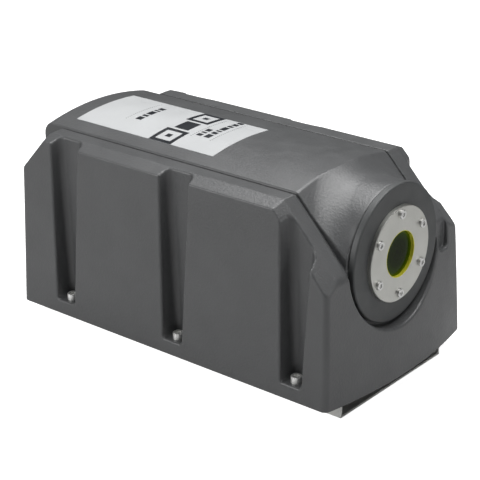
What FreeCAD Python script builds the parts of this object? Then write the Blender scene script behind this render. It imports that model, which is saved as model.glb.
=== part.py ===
"""Weatherproof fibre-optic light source: moulded hood over a folded tray, lamp train and control gear inside.

Frame: millimetres, +Z up, +X towards the fibre port, origin at the bottom centre of the bounding box.
"""
import FreeCAD, Part
import math
import os

V = FreeCAD.Vector
X_AXIS = V(1, 0, 0)
Y_AXIS = V(0, 1, 0)
Z_AXIS = V(0, 0, 1)

# ---- driving dimensions: hood -------------------------------------------------
WALL = 3.5                 # moulded wall thickness
LIP_Z = 17.5               # lower edge of the hood above the mounting surface
REAR_X = -189.0            # rear wall at the lower edge
FRONT_CENTRE_X = 189.0     # most forward point of the bowed front wall
FRONT_CORNER_X = 178.5     # front wall at its two lower corners
HALF_WIDTH = 104.5         # side walls at the lower edge
DRAFT = 0.0525             # side walls lean in by this much per millimetre of height
CORNER_R = 6.0             # rounded vertical corners
KNEE_Z = 130.0             # height where the front wall turns into the front slope
KNEE_X = 173.3
REAR_KNEE_Z = 159.5        # height where the rear wall turns into the rear slope
REAR_KNEE_X = -187.9
LEDGE_Z = 190.0            # flat ledge that runs round the domed top
CREASE_X = 116.0           # front end of the ledge and of the dome
REAR_CREASE_X = -160.0
BEVEL_OUT = 13.1           # bevel between side wall and ledge, measured across
BEVEL_DOWN = 5.0           # the same bevel, measured down
LEDGE_HALF = 82.6          # outer edge of the ledge
DOME_HALF = 65.0           # half width of the domed top
DOME_FOOT_Z = 190.5
DOME_TOP_Z = 198.5
GROOVE_WIDTH = 2.8         # groove along the foot of the dome
GROOVE_DEPTH = 2.0
FLUTE_X = (-131.0, 4.0, 139.0)
FLUTE_FLOOR_Z = 31.5
FLUTE_TOP_Z = 215.0
FLUTE_BACK = 84.5          # distance of the flutes' back walls from the middle plane
SCREW_Y = 94.5             # hood screws, from the middle plane
HOOD_SCREW_R = 3.0
HOOD_SCREW_LENGTH = 12.5
HOOD_SCREW_HOLE_R = 3.4

# ---- driving dimensions: fibre port ----------------------------------------------
PORT_Z = 129.0             # optical axis
BARREL_R = 62.5
SEAT_X = 168.8             # flat seat that carries the port disc
SEAT_R = 66.5              # round recess around the disc
SEAT_HOLE_R = 28.0
DISC_R = 63.0
DISC_FACE_X = 174.6
RING_FACE_X = 178.6
RING_R = 43.5
PORT_R = 20.7              # clear bore that takes the fibre ferrule
GLASS_X = 175.4            # front face of the port glass
GLASS_THICK = 3.0
GLASS_R = 24.0
SEAL_R = 25.7
BOLT_CIRCLE_R = 36.8
RING_SCREWS = 6
RING_SCREW_R = 2.5
RING_SCREW_LENGTH = 17.5
RING_SCREW_HEAD_R = 4.1
RING_SCREW_HEAD_H = 2.2
POCKET_X = 169.5           # floor of the pocket beside the disc, in the front wall
POCKET_Y = (67.0, 82.0)
POCKET_Z = 106.5
POCKET_CORNER_R = 5.0
FLANGE_X = 160.3           # rear face of the clamp flange inside the hood

# ---- driving dimensions: tray and inside -----------------------------------------
SHEET = 2.0
TRAY_HALF = 77.0
TRAY_FRONT_X = 173.5
TRAY_REAR_X = -178.0
RAIL_Z = 26.0              # top of the outward lips that carry the hood
RAIL_HALF = 99.6
NUT_R = 4.2                # threaded inserts pressed into the lips
MOUNT_X = 150.0            # four fixing holes in the tray floor
MOUNT_Y = 58.0
MOUNT_HOLE_R = 3.5
WHEEL_Z = 89.0             # colour wheel axis
WHEEL_R = 57.0
WHEEL_X = 102.0
FILTER_CIRCLE_R = PORT_Z - WHEEL_Z
FILTERS = 8
FAN_Z = 104.0
FAN_X = -75.5              # rear face of the fan
FAN_DEPTH = 25.0
FAN_HALF = 46.0
LAMP_PLATE_X = -26.0
HOLDER_FRONT_X = -8.2
GEAR_REAR_X = -160.0       # control gear stands between this and the fan
GEAR_FRONT_X = -82.0
SHELF_Z = 86.0


# ---- small helpers -------------------------------------------------------------
def block(x0, x1, y0, y1, z0, z1):
    return Part.makeBox(x1 - x0, y1 - y0, z1 - z0, V(x0, y0, z0))


def rod_x(radius, x0, x1, y=0.0, z=PORT_Z):
    return Part.makeCylinder(radius, x1 - x0, V(x0, y, z), X_AXIS)


def rod_y(radius, y0, y1, x, z):
    return Part.makeCylinder(radius, y1 - y0, V(x, y0, z), Y_AXIS)


def rod_z(radius, z0, z1, x, y):
    return Part.makeCylinder(radius, z1 - z0, V(x, y, z0), Z_AXIS)


def tube_x(outer, inner, x0, x1, y=0.0, z=PORT_Z):
    return rod_x(outer, x0, x1, y, z).cut(rod_x(inner, x0 - 1, x1 + 1, y, z))


def fuse(first, *others):
    return first.fuse(list(others)).removeSplitter()


def mirrored(shape):
    return shape.mirror(V(0, 0, 0), Y_AXIS)


def turned_x(shape, degrees, y, z):
    copy = shape.copy()
    copy.rotate(V(0, y, z), X_AXIS, degrees)
    return copy


def prism(points, direction):
    """Straight extrusion of a closed polygon."""
    return Part.Face(Part.makePolygon(points + [points[0]])).extrude(direction)


def export(name, *solids):
    shape = solids[0] if len(solids) == 1 else Part.makeCompound(list(solids))
    shape.exportStep("parts/" + name + ".step")


# ---- hood -----------------------------------------------------------------------
def side_at(z):
    return HALF_WIDTH - DRAFT * (z - LIP_Z)


def level_wire(z, rear, front_corner, front_centre, half):
    """Rounded rectangle at height z; its front edge may bow forward."""
    r = CORNER_R
    q = r * (1 - math.sqrt(0.5))
    rear_left = V(rear, -half + r, z)
    rear_right = V(rear, half - r, z)
    front_left = V(front_corner, -half + r, z)
    front_right = V(front_corner, half - r, z)
    left_rear = V(rear + r, -half, z)
    left_front = V(front_corner - r, -half, z)
    right_rear = V(rear + r, half, z)
    right_front = V(front_corner - r, half, z)
    if front_centre > front_corner:
        front = Part.Arc(front_left, V(front_centre, 0, z), front_right).toShape()
    else:
        front = Part.makeLine(front_left, front_right)
    edges = [
        Part.makeLine(left_rear, left_front),
        Part.Arc(left_front, V(front_corner - q, -half + q, z), front_left).toShape(),
        front,
        Part.Arc(front_right, V(front_corner - q, half - q, z), right_front).toShape(),
        Part.makeLine(right_front, right_rear),
        Part.Arc(right_rear, V(rear + q, half - q, z), rear_right).toShape(),
        Part.makeLine(rear_right, rear_left),
        Part.Arc(rear_left, V(rear + q, -half + q, z), left_rear).toShape(),
    ]
    return Part.Wire(edges)


def bevel_cutters(t):
    """Blocks that plane the bevel off the ledge, the front slope and the rear slope."""
    tilt = math.degrees(math.atan2(BEVEL_DOWN, BEVEL_OUT))
    front_slope = math.degrees(math.atan2(LEDGE_Z - KNEE_Z, KNEE_X - CREASE_X))
    rear_slope = math.degrees(math.atan2(LEDGE_Z - REAR_KNEE_Z, REAR_CREASE_X - REAR_KNEE_X))
    cutters = []
    for crease, slope in ((CREASE_X, 0.0), (CREASE_X, front_slope), (REAR_CREASE_X, -rear_slope)):
        cutter = Part.makeBox(800, 120, 90, V(-400, -60, 0))
        cutter.rotate(V(0, 0, 0), X_AXIS, -tilt)
        cutter.rotate(V(0, 0, 0), Y_AXIS, slope)
        cutter.translate(V(crease, LEDGE_HALF, LEDGE_Z))
        cutter.translate(V(0, -t, -t))
        cutters.append(cutter)
        cutters.append(mirrored(cutter))
    return cutters


def hood_core(t, floor):
    """Walls, slopes and ledge as one closed solid, set in by t."""
    levels = (
        (floor, REAR_X, FRONT_CORNER_X, FRONT_CENTRE_X, HALF_WIDTH),
        (KNEE_Z, REAR_KNEE_X, KNEE_X, KNEE_X, side_at(KNEE_Z)),
        (REAR_KNEE_Z, REAR_KNEE_X, None, None, side_at(REAR_KNEE_Z)),
        (LEDGE_Z - t, REAR_CREASE_X, CREASE_X, CREASE_X, side_at(LEDGE_Z)),
    )
    wires = []
    for z, rear, corner, centre, half in levels:
        if corner is None:
            share = (z - KNEE_Z) / (LEDGE_Z - t - KNEE_Z)
            corner = KNEE_X + share * (CREASE_X - KNEE_X)
            centre = corner
        wires.append(level_wire(z, rear + t, corner - t, centre - t, half - t))
    core = Part.makeLoft(wires, True, True)
    return core.cut(bevel_cutters(t))


def arch_wire(x, t, drop):
    half = DOME_HALF - t
    base = V(x, -half, 120 - drop)
    left = V(x, -half, DOME_FOOT_Z - t - drop)
    top = V(x, 0, DOME_TOP_Z - t - drop)
    right = V(x, half, DOME_FOOT_Z - t - drop)
    other = V(x, half, 120 - drop)
    return Part.Wire([
        Part.makeLine(base, left),
        Part.Arc(left, top, right).toShape(),
        Part.makeLine(right, other),
        Part.makeLine(other, base),
    ])


def dome(t):
    """Arched top from the rear wall to the crease, and its run down the front slope."""
    top = Part.makeLoft([arch_wire(REAR_KNEE_X + t, t, 0), arch_wire(CREASE_X - t, t, 0)], True, True)
    rear_edges = []
    for edge in top.Edges:
        box = edge.BoundBox
        if box.XMax < REAR_KNEE_X + t + 1 and box.ZMin > LEDGE_Z - 10:
            rear_edges.append(edge)
    top = top.makeFillet(12 - t, rear_edges)
    run = SEAT_X - CREASE_X
    fall = run * (LEDGE_Z - KNEE_Z) / (KNEE_X - CREASE_X)
    slope = Part.makeLoft([arch_wire(CREASE_X - t, t, 0), arch_wire(SEAT_X - t, t, fall)], True, True)
    return [top, slope]


def flute_wire(z, mouth, back, depth_y, grow):
    outer = HALF_WIDTH + 20
    slant = (mouth - back) * 20 / (HALF_WIDTH - depth_y)
    y_back = depth_y - grow
    return Part.makePolygon([
        V(-mouth - slant - grow, outer, z),
        V(-back - grow, y_back + 4, z),
        V(-back - grow + 4, y_back, z),
        V(back + grow - 4, y_back, z),
        V(back + grow, y_back + 4, z),
        V(mouth + slant + grow, outer, z),
        V(-mouth - slant - grow, outer, z),
    ])


def flutes(grow):
    """Tapered channels down both side walls; grow makes the matching inner bulges."""
    low = flute_wire(FLUTE_FLOOR_Z - grow, 11.5, 8.5, FLUTE_BACK + 1.0, grow)
    high = flute_wire(FLUTE_TOP_Z, 20.5, 15.5, FLUTE_BACK - 0.5, grow)
    channel = Part.makeLoft([low, high], True, True)
    cutters = []
    for x in FLUTE_X:
        copy = channel.copy()
        copy.translate(V(x, 0, 0))
        cutters.append(copy)
        cutters.append(mirrored(copy))
    return cutters


def dome_grooves():
    """Narrow groove at the foot of the dome, along the top and down the front slope."""
    slope = math.degrees(math.atan2(LEDGE_Z - KNEE_Z, KNEE_X - CREASE_X))
    cutters = []
    y0 = DOME_HALF
    y1 = DOME_HALF + GROOVE_WIDTH
    top = block(REAR_CREASE_X - 20, CREASE_X, y0, y1, LEDGE_Z - GROOVE_DEPTH, LEDGE_Z + 5)
    run = block(0, 72, y0, y1, -2 * GROOVE_DEPTH, 5)
    run.rotate(V(0, 0, 0), Y_AXIS, slope)
    run.translate(V(CREASE_X, 0, LEDGE_Z))
    for cutter in (top, run):
        cutters.append(cutter)
        cutters.append(mirrored(cutter))
    return cutters


def rear_opening():
    """Arched opening low in the rear wall, over the tray's gland panel."""
    opening = block(REAR_X - 5, REAR_X + 12, -55, 55, 0, 62)
    edges = []
    for edge in opening.Edges:
        box = edge.BoundBox
        if box.ZMin > 61 and box.XLength > 10:
            edges.append(edge)
    return opening.makeFillet(14, edges)


def front_pocket(grow):
    """Pocket that runs out of the front slope on the +Y side of the port disc."""
    y0 = POCKET_Y[0] - grow
    y1 = POCKET_Y[1] + grow
    pocket = block(POCKET_X - grow, 220, y0, y1, POCKET_Z - grow, 150)
    corners = [e for e in pocket.Edges if e.BoundBox.ZMax < POCKET_Z + 1 and e.BoundBox.XLength > 30]
    return pocket.makeFillet(POCKET_CORNER_R + grow, corners)


def hood():
    outer = hood_core(0.0, LIP_Z).fuse(dome(0.0) + [rod_x(BARREL_R, 90, SEAT_X)])
    outer = outer.cut(flutes(0.0) + dome_grooves() + [front_pocket(0.0), rod_x(SEAT_R, SEAT_X, 220)])
    inner = hood_core(WALL, LIP_Z - 1).fuse(dome(WALL) + [rod_x(BARREL_R - WALL, 90, SEAT_X - WALL)])
    inner = inner.cut(flutes(WALL) + [front_pocket(WALL), rod_x(SEAT_R + WALL, SEAT_X - WALL, 220)])
    inner = inner.fuse([rod_x(SEAT_HOLE_R, SEAT_X - 20, SEAT_X + 2)])
    shell = outer.cut([inner, rear_opening()])
    holes = bolt_holes(RING_SCREW_R + 0.3, SEAT_X - WALL - 1, SEAT_X + 1)
    for x in FLUTE_X:
        for side in (-1, 1):
            holes.append(rod_z(HOOD_SCREW_HOLE_R, LIP_Z, FLUTE_FLOOR_Z + 1, x, side * SCREW_Y))
    return shell.cut(holes).removeSplitter()


def label_plate():
    """Thin printed plate that follows the dome."""
    rise = DOME_TOP_Z - DOME_FOOT_Z
    radius = (DOME_HALF ** 2 + rise ** 2) / (2 * rise)
    centre_z = DOME_TOP_Z - radius
    plate = tube_x(radius + 0.35, radius, -160, 10, 0, centre_z)
    return plate.common(block(-160, 10, -49, 31, 150, 220))


def socket_screw(head_r, head_h, shank_r, length):
    """Socket-head cap screw along +Z, its head sitting on z = 0."""
    head = Part.makeCylinder(head_r, head_h)
    head = head.makeChamfer(0.4, [head.Edges[0]])
    key = []
    for k in range(6):
        a = math.radians(60 * k)
        key.append(V(0.55 * head_r * math.cos(a), 0.55 * head_r * math.sin(a), head_h * 0.45))
    socket = prism(key, V(0, 0, head_h))
    shank = Part.makeCylinder(shank_r, length, V(0, 0, -length))
    return head.cut(socket).fuse(shank).removeSplitter()


def hood_screws():
    screws = []
    for x in FLUTE_X:
        for side in (-1, 1):
            screw = socket_screw(5.0, 6.0, HOOD_SCREW_R, HOOD_SCREW_LENGTH)
            screw.translate(V(x, side * SCREW_Y, FLUTE_FLOOR_Z))
            screws.append(screw)
    return screws


def hood_grommets():
    pads = []
    for x in FLUTE_X:
        for side in (-1, 1):
            pad = rod_z(4.9, RAIL_Z, FLUTE_FLOOR_Z - WALL, x, side * SCREW_Y)
            pads.append(pad.cut(rod_z(HOOD_SCREW_HOLE_R, RAIL_Z - 1, FLUTE_FLOOR_Z, x, side * SCREW_Y)))
    return pads


# ---- port -------------------------------------------------------------------------
def bolt_places():
    places = []
    for k in range(RING_SCREWS):
        a = math.radians(90 + 60 * k)
        places.append((BOLT_CIRCLE_R * math.cos(a), PORT_Z + BOLT_CIRCLE_R * math.sin(a)))
    return places


def bolt_holes(radius, x0, x1):
    return [rod_x(radius, x0, x1, y, z) for y, z in bolt_places()]


def port_disc():
    disc = rod_x(DISC_R, SEAT_X, DISC_FACE_X)
    front = [e for e in disc.Edges if e.BoundBox.XMin > DISC_FACE_X - 0.1]
    disc = disc.makeFillet(1.6, front)
    disc = disc.cut(rod_x(26.0, SEAT_X - 1, DISC_FACE_X + 1))
    return disc.cut(bolt_holes(2.7, SEAT_X - 1, DISC_FACE_X + 1))


def port_ring():
    ring = rod_x(RING_R, DISC_FACE_X, RING_FACE_X)
    front = [e for e in ring.Edges if e.BoundBox.XMin > RING_FACE_X - 0.1]
    ring = ring.makeChamfer(0.6, front)
    ring = ring.cut([rod_x(SEAL_R, DISC_FACE_X - 1, GLASS_X), rod_x(PORT_R, GLASS_X - 1, RING_FACE_X + 1)])
    return ring.cut(bolt_holes(2.7, DISC_FACE_X - 1, RING_FACE_X + 1)).removeSplitter()


def port_ring_screws():
    screws = []
    for y, z in bolt_places():
        screw = socket_screw(RING_SCREW_HEAD_R, RING_SCREW_HEAD_H, RING_SCREW_R, RING_SCREW_LENGTH)
        screw.rotate(V(0, 0, 0), Y_AXIS, 90)
        screw.translate(V(RING_FACE_X, y, z))
        screws.append(screw)
    return screws


def port_sleeve():
    """Inner clamp flange with the tube that guides the light to the glass."""
    flange = rod_x(43.0, FLANGE_X, SEAT_X - WALL)
    tube = rod_x(25.5, 150, GLASS_X - GLASS_THICK)
    body = flange.fuse(tube)
    body = body.cut([rod_x(22.0, 149, 175)] + bolt_holes(RING_SCREW_R, 150, SEAT_X))
    return body.removeSplitter()


def port_glass():
    return rod_x(GLASS_R, GLASS_X - GLASS_THICK, GLASS_X)


def glass_seal():
    return tube_x(SEAL_R, GLASS_R, GLASS_X - GLASS_THICK, GLASS_X)


# ---- tray --------------------------------------------------------------------------
def tray_floor_cuts():
    cuts = []
    for sx in (-1, 1):
        for sy in (-1, 1):
            cuts.append(rod_z(MOUNT_HOLE_R, -1, SHEET + 1, sx * MOUNT_X, sy * MOUNT_Y))
    for k in range(7):
        x = -12 + 9 * k
        for sy in (-1, 1):
            cuts.append(block(x, x + 4, sy * 48 - 20, sy * 48 + 20, -1, SHEET + 1))
    return cuts


def base_tray():
    floor = block(TRAY_REAR_X, TRAY_FRONT_X, -TRAY_HALF, TRAY_HALF, 0, SHEET)
    parts = []
    for side in (-1, 1):
        y0, y1 = sorted((side * TRAY_HALF, side * (TRAY_HALF - SHEET)))
        parts.append(block(TRAY_REAR_X, TRAY_FRONT_X, y0, y1, 0, RAIL_Z))
        y0, y1 = sorted((side * (TRAY_HALF - SHEET), side * RAIL_HALF))
        rail = block(-172, 162, y0, y1, RAIL_Z - SHEET, RAIL_Z)
        slots = [block(x - 24, x + 24, side * 87 - 3, side * 87 + 3, 0, 40) for x in (-64, 71)]
        parts.append(rail.cut(slots))
    tray = fuse(floor, *parts)
    holes = [rod_z(NUT_R, RAIL_Z - 5, RAIL_Z + 1, x, s * SCREW_Y) for x in FLUTE_X for s in (-1, 1)]
    return tray.cut(tray_floor_cuts() + holes)


def rail_nuts():
    """Threaded inserts in the rails, one under each hood screw."""
    nuts = []
    for x in FLUTE_X:
        for side in (-1, 1):
            nut = rod_z(NUT_R, LIP_Z + 0.5, RAIL_Z, x, side * SCREW_Y)
            nuts.append(nut.cut(rod_z(HOOD_SCREW_R + 0.05, LIP_Z, RAIL_Z + 1, x, side * SCREW_Y)))
    return nuts


def gland_panel():
    """Rear upright of the tray with the cable entries and the exhaust slots."""
    x0 = TRAY_REAR_X
    panel = block(x0, x0 + SHEET, -72, 72, SHEET, 72)
    foot = block(x0, x0 + 16, -72, 72, SHEET, 2 * SHEET)
    cuts = [rod_x(10.2, x0 - 1, x0 + SHEET + 1, y, 22) for y in (-28, 28)]
    for k in range(9):
        y = -42 + 10.5 * k
        cuts.append(block(x0 - 1, x0 + SHEET + 1, y - 2, y + 2, 42, 58))
    return panel.fuse(foot).cut(cuts).removeSplitter()


def cable_gland(y):
    z = 22.0
    x0 = TRAY_REAR_X
    thread = rod_x(10.0, x0 - 3, x0 + 12, y, z)
    flats = []
    for k in range(6):
        a = math.radians(60 * k)
        flats.append(V(x0 - 8, y + 13.2 * math.cos(a), z + 13.2 * math.sin(a)))
    hexagon = prism(flats, V(8, 0, 0))
    dome_nut = Part.makeCone(11.0, 8.0, 3.0, V(x0 - 8, y, z), V(-1, 0, 0))
    body = fuse(thread, hexagon, dome_nut)
    return body.cut(rod_x(5.0, x0 - 20, x0 + 20, y, z))


def gland_nut(y):
    z = 22.0
    x0 = TRAY_REAR_X + SHEET
    flats = []
    for k in range(6):
        a = math.radians(60 * k)
        flats.append(V(x0, y + 13.0 * math.cos(a), z + 13.0 * math.sin(a)))
    return prism(flats, V(5, 0, 0)).cut(rod_x(10.0, x0 - 1, x0 + 6, y, z))


# ---- lamp train ------------------------------------------------------------------------
def upright(x0, half, top, *cuts):
    """Bent sheet bracket: a plate across the tray with a foot screwed to the floor."""
    plate = block(x0, x0 + SHEET, -half, half, SHEET, top)
    foot = block(x0, x0 + 18, -half, half, SHEET, 2 * SHEET)
    bracket = plate.fuse(foot)
    if cuts:
        bracket = bracket.cut(list(cuts))
    return bracket.removeSplitter()


def dish_profile(offset):
    """Half outline of an elliptical dish, from its rear neck to its mouth."""
    points = []
    for k in range(13):
        share = k / 12.0
        x = 14.0 + 44.0 * share
        r = 9.0 + 29.0 * math.sqrt(share * (2.2 - share) / 1.2)
        points.append(V(x, 0, PORT_Z + r + offset))
    return points


def reflector():
    inner = dish_profile(0.0)
    outer = dish_profile(2.5)
    curve_in = Part.BSplineCurve()
    curve_in.interpolate(inner)
    curve_out = Part.BSplineCurve()
    curve_out.interpolate(outer)
    wire = Part.Wire([
        curve_in.toShape(),
        Part.makeLine(inner[-1], outer[-1]),
        curve_out.toShape(),
        Part.makeLine(outer[0], inner[0]),
    ])
    return Part.Face(wire).revolve(V(0, 0, PORT_Z), X_AXIS, 360)


def lamp():
    """Single-ended discharge capsule on its ceramic base."""
    base = rod_x(7.5, HOLDER_FRONT_X, 8)
    stem = rod_x(4.5, 7, 22)
    bulb = Part.makeSphere(7.0, V(27, 0, PORT_Z))
    tip = rod_x(3.0, 27, 38)
    pins = [rod_x(1.2, HOLDER_FRONT_X - 10, HOLDER_FRONT_X + 1, y) for y in (-4, 4)]
    return fuse(base, stem, bulb, tip, *pins)


def lamp_holder():
    body = block(LAMP_PLATE_X + SHEET, HOLDER_FRONT_X, -16, 16, PORT_Z - 14, PORT_Z + 14)
    sockets = [rod_x(1.3, HOLDER_FRONT_X - 12, HOLDER_FRONT_X + 1, y) for y in (-4, 4)]
    return body.cut(sockets)


def lamp_bracket():
    """Upright behind the lamp, with openings that let the fan's air through."""
    windows = [block(-30, -20, s * 28 - 8, s * 28 + 8, 16, 104) for s in (-1, 1)]
    low = block(-30, -20, -14, 14, 16, 104)
    return upright(LAMP_PLATE_X, 40, 150, low, *windows)


def heat_filter():
    return rod_x(27.0, 84, 87)


def filter_holder():
    plate = upright(82, 52, 165, rod_x(22.0, 80, 90))
    frame = tube_x(32.0, 27.0, 84, 87.2)
    return plate.fuse(frame).removeSplitter()


# ---- colour wheel ------------------------------------------------------------------------
def filter_places():
    places = []
    for k in range(FILTERS):
        a = math.radians(90 + 360.0 * k / FILTERS)
        places.append((FILTER_CIRCLE_R * math.cos(a), WHEEL_Z + FILTER_CIRCLE_R * math.sin(a)))
    return places


def colour_wheel():
    wheel = rod_x(WHEEL_R, WHEEL_X, WHEEL_X + 1.5, 0, WHEEL_Z)
    cuts = [rod_x(11.5, WHEEL_X - 1, WHEEL_X + 3, y, z) for y, z in filter_places()]
    cuts.append(rod_x(6.0, WHEEL_X - 1, WHEEL_X + 3, 0, WHEEL_Z))
    return wheel.cut(cuts)


def colour_filters():
    return [rod_x(13.5, WHEEL_X - 1.3, WHEEL_X, y, z) for y, z in filter_places()]


def wheel_hub():
    hub = rod_x(6.0, WHEEL_X - 4, WHEEL_X + 7.5, 0, WHEEL_Z)
    flange = rod_x(11.0, WHEEL_X + 1.5, WHEEL_X + 4, 0, WHEEL_Z)
    return fuse(hub, flange).cut(rod_x(2.5, WHEEL_X - 5, WHEEL_X + 10, 0, WHEEL_Z))


def motor_shaft():
    return rod_x(2.5, WHEEL_X - 4, 130, 0, WHEEL_Z)


def wheel_motor():
    body = block(114, 144, -21, 21, WHEEL_Z - 21, WHEEL_Z + 21)
    edges = [e for e in body.Edges if e.BoundBox.XLength > 29]
    body = body.makeChamfer(3.5, edges)
    pilot = rod_x(11.0, 112, 114, 0, WHEEL_Z)
    return body.fuse(pilot).cut(rod_x(2.55, 111, 131, 0, WHEEL_Z)).removeSplitter()


def wheel_bracket():
    return upright(112, 46, 158, rod_x(17.0, 110, 116), rod_x(11.0, 110, 116, 0, WHEEL_Z))


# ---- fan and bulkhead ------------------------------------------------------------------
def bulkhead():
    return upright(-50.5, 74, 172, rod_x(43.0, -52, -47, 0, FAN_Z))


def fan_frame():
    x1 = FAN_X + FAN_DEPTH
    frame = block(FAN_X, x1, -FAN_HALF, FAN_HALF, FAN_Z - FAN_HALF, FAN_Z + FAN_HALF)
    edges = [e for e in frame.Edges if e.BoundBox.XLength > FAN_DEPTH - 1]
    frame = frame.makeFillet(5.0, edges)
    frame = frame.cut(rod_x(43.0, FAN_X - 1, x1 + 1, 0, FAN_Z))
    struts = [rod_x(16.0, x1 - 3, x1, 0, FAN_Z)]
    for k in range(4):
        strut = block(x1 - 3, x1, 14, 44.5, FAN_Z - 2, FAN_Z + 2)
        struts.append(turned_x(strut, 45 + 90 * k, 0, FAN_Z))
    pin = rod_x(1.5, x1 - 14, x1 - 2, 0, FAN_Z)
    return fuse(frame, *struts).fuse(pin).removeSplitter()


def fan_rotor():
    x0 = FAN_X + 2
    x1 = FAN_X + FAN_DEPTH - 4.5
    hub = rod_x(17.0, x0, x1, 0, FAN_Z).cut(rod_x(1.55, x0 + 6, x1 + 1, 0, FAN_Z))
    blades = []
    for k in range(7):
        blade = block(x0 + 1, x1 - 1, 16, 41.5, FAN_Z - 0.9, FAN_Z + 0.9)
        blade.rotate(V((x0 + x1) / 2, 28, FAN_Z), Y_AXIS, 38)
        blades.append(turned_x(blade, 360.0 * k / 7, 0, FAN_Z))
    rotor = fuse(hub, *blades)
    return rotor.common(rod_x(41.5, x0, x1, 0, FAN_Z))


def fan_guard():
    """Wire guard: rings in front, four bars behind them that reach the fan's corner screws."""
    x = FAN_X - 2.8
    guard = None
    for k in range(5):
        hoop = tube_x(8.8 + 8.5 * k, 7.2 + 8.5 * k, x, x + 1.6, 0, FAN_Z)
        guard = hoop if guard is None else guard.fuse(hoop)
    for k in range(4):
        bar = block(x + 1.2, x + 2.8, 7.5, 57, FAN_Z - 0.8, FAN_Z + 0.8)
        guard = guard.fuse(turned_x(bar, 45 + 90 * k, 0, FAN_Z))
    return guard


# ---- control gear ----------------------------------------------------------------------
def ballast_core():
    core = block(-152, -90, -64, -14, 2 * SHEET, 58)
    window = block(-140, -102, -65, -13, 16, 46)
    feet = block(-157, -85, -62, -16, SHEET, 2 * SHEET)
    return core.cut(window).fuse(feet).removeSplitter()


def ballast_winding():
    outer = block(-140, -102, -70, -8, 16, 46)
    edges = [e for e in outer.Edges if e.BoundBox.YLength > 60]
    return outer.makeFillet(5, edges)


def ignitor():
    can = rod_z(19, SHEET, 58, -138, 18)
    top = [e for e in can.Edges if e.BoundBox.ZMin > 57]
    return can.makeFillet(3, top)


def capacitor():
    can = rod_x(17.5, -116, -64, 44, 22.5)
    tabs = [rod_x(3.5, -65, -59, y, 22.5) for y in (38, 50)]
    return fuse(can, *tabs)


def capacitor_clip():
    band = tube_x(19.0, 17.5, -98, -84, 44, 22.5)
    foot = block(-98, -84, 26, 63, SHEET, 3.8)
    return band.fuse(foot).cut(rod_x(17.5, -110, -80, 44, 22.5)).removeSplitter()


def gear_shelf():
    """Folded shelf that bridges the ballast and carries the control board."""
    x0 = GEAR_REAR_X
    x1 = GEAR_FRONT_X
    half = 73.0
    pieces = []
    for side in (-1, 1):
        leg = sorted((side * half, side * (half - SHEET)))
        foot = sorted((side * half, side * 66))
        pieces.append(block(x0, x1, leg[0], leg[1], SHEET, SHELF_Z))
        pieces.append(block(x0, x1, foot[0], foot[1], SHEET, 2 * SHEET))
    shelf = fuse(block(x0, x1, -half, half, SHELF_Z - SHEET, SHELF_Z), *pieces)
    windows = [block(x0 + 12, x1 - 12, s * half - 3, s * half + 3, 14, 74) for s in (-1, 1)]
    return shelf.cut(windows)


def control_board():
    z = SHELF_Z + 8
    return block(GEAR_REAR_X + 2, GEAR_FRONT_X - 2, -60, 60, z, z + 1.6)


def board_standoffs():
    places = [(x, y) for x in (GEAR_REAR_X + 6, GEAR_FRONT_X - 6) for y in (-56, 56)]
    return [rod_z(2.5, SHELF_Z, SHELF_Z + 8, x, y) for x, y in places]


def board_parts():
    """Relays, choke, smoothing cans, controller chip and connector of the control board."""
    top = SHELF_Z + 9.6
    x0 = GEAR_REAR_X + 6
    pieces = [
        block(x0 + 4, x0 + 22, -50, -36, top, top + 15),
        block(x0 + 4, x0 + 22, -30, -16, top, top + 15),
        block(x0 + 30, x0 + 58, -52, -24, top, top + 22),
        rod_z(8, top, top + 26, x0 + 13, 4),
        rod_z(8, top, top + 26, x0 + 13, 24),
        block(x0 + 32, x0 + 54, 2, 24, top, top + 3),
        block(x0 + 1, x0 + 11, 38, 54, top, top + 11),
        block(x0 + 44, x0 + 66, 34, 54, top, top + 12),
    ]
    return pieces


def terminal_block():
    x0 = GEAR_FRONT_X + 2
    body = block(x0, x0 + 12, -64, -6, SHEET, 20)
    slots = [block(x0 - 1, x0 + 13, -62.4 + 9.6 * k, -61 + 9.6 * k, 14, 21) for k in range(1, 6)]
    return body.cut(slots)


def thermal_cutout():
    return fuse(rod_x(8, -48.5, -43, 30, 160), rod_x(10, -48.5, -47, 30, 160))


def build():
    os.makedirs("parts", exist_ok=True)
    export("hood", hood())
    export("label_plate", label_plate())
    export("hood_screws", *hood_screws())
    export("hood_grommets", *hood_grommets())
    export("port_disc", port_disc())
    export("port_ring", port_ring())
    export("port_ring_screws", *port_ring_screws())
    export("port_sleeve", port_sleeve())
    export("port_glass", port_glass())
    export("glass_seal", glass_seal())
    export("base_tray", base_tray())
    export("rail_nuts", *rail_nuts())
    export("gland_panel", gland_panel())
    export("mains_gland", cable_gland(-28))
    export("data_gland", cable_gland(28))
    export("gland_nuts", gland_nut(-28), gland_nut(28))
    export("reflector", reflector())
    export("reflector_bracket", upright(58, 58, 175, rod_x(37.9, 50, 70)))
    export("lamp", lamp())
    export("lamp_holder", lamp_holder())
    export("lamp_bracket", lamp_bracket())
    export("heat_filter", heat_filter())
    export("filter_holder", filter_holder())
    export("colour_wheel", colour_wheel())
    export("colour_filters", *colour_filters())
    export("wheel_hub", wheel_hub())
    export("motor_shaft", motor_shaft())
    export("wheel_motor", wheel_motor())
    export("wheel_bracket", wheel_bracket())
    export("bulkhead", bulkhead())
    export("fan_frame", fan_frame())
    export("fan_rotor", fan_rotor())
    export("fan_guard", fan_guard())
    export("ballast_core", ballast_core())
    export("ballast_winding", ballast_winding())
    export("ignitor", ignitor())
    export("capacitor", capacitor())
    export("capacitor_clip", capacitor_clip())
    export("gear_shelf", gear_shelf())
    export("control_board", control_board())
    export("board_standoffs", *board_standoffs())
    export("board_parts", *board_parts())
    export("terminal_block", terminal_block())
    export("thermal_cutout", thermal_cutout())


build()
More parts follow.
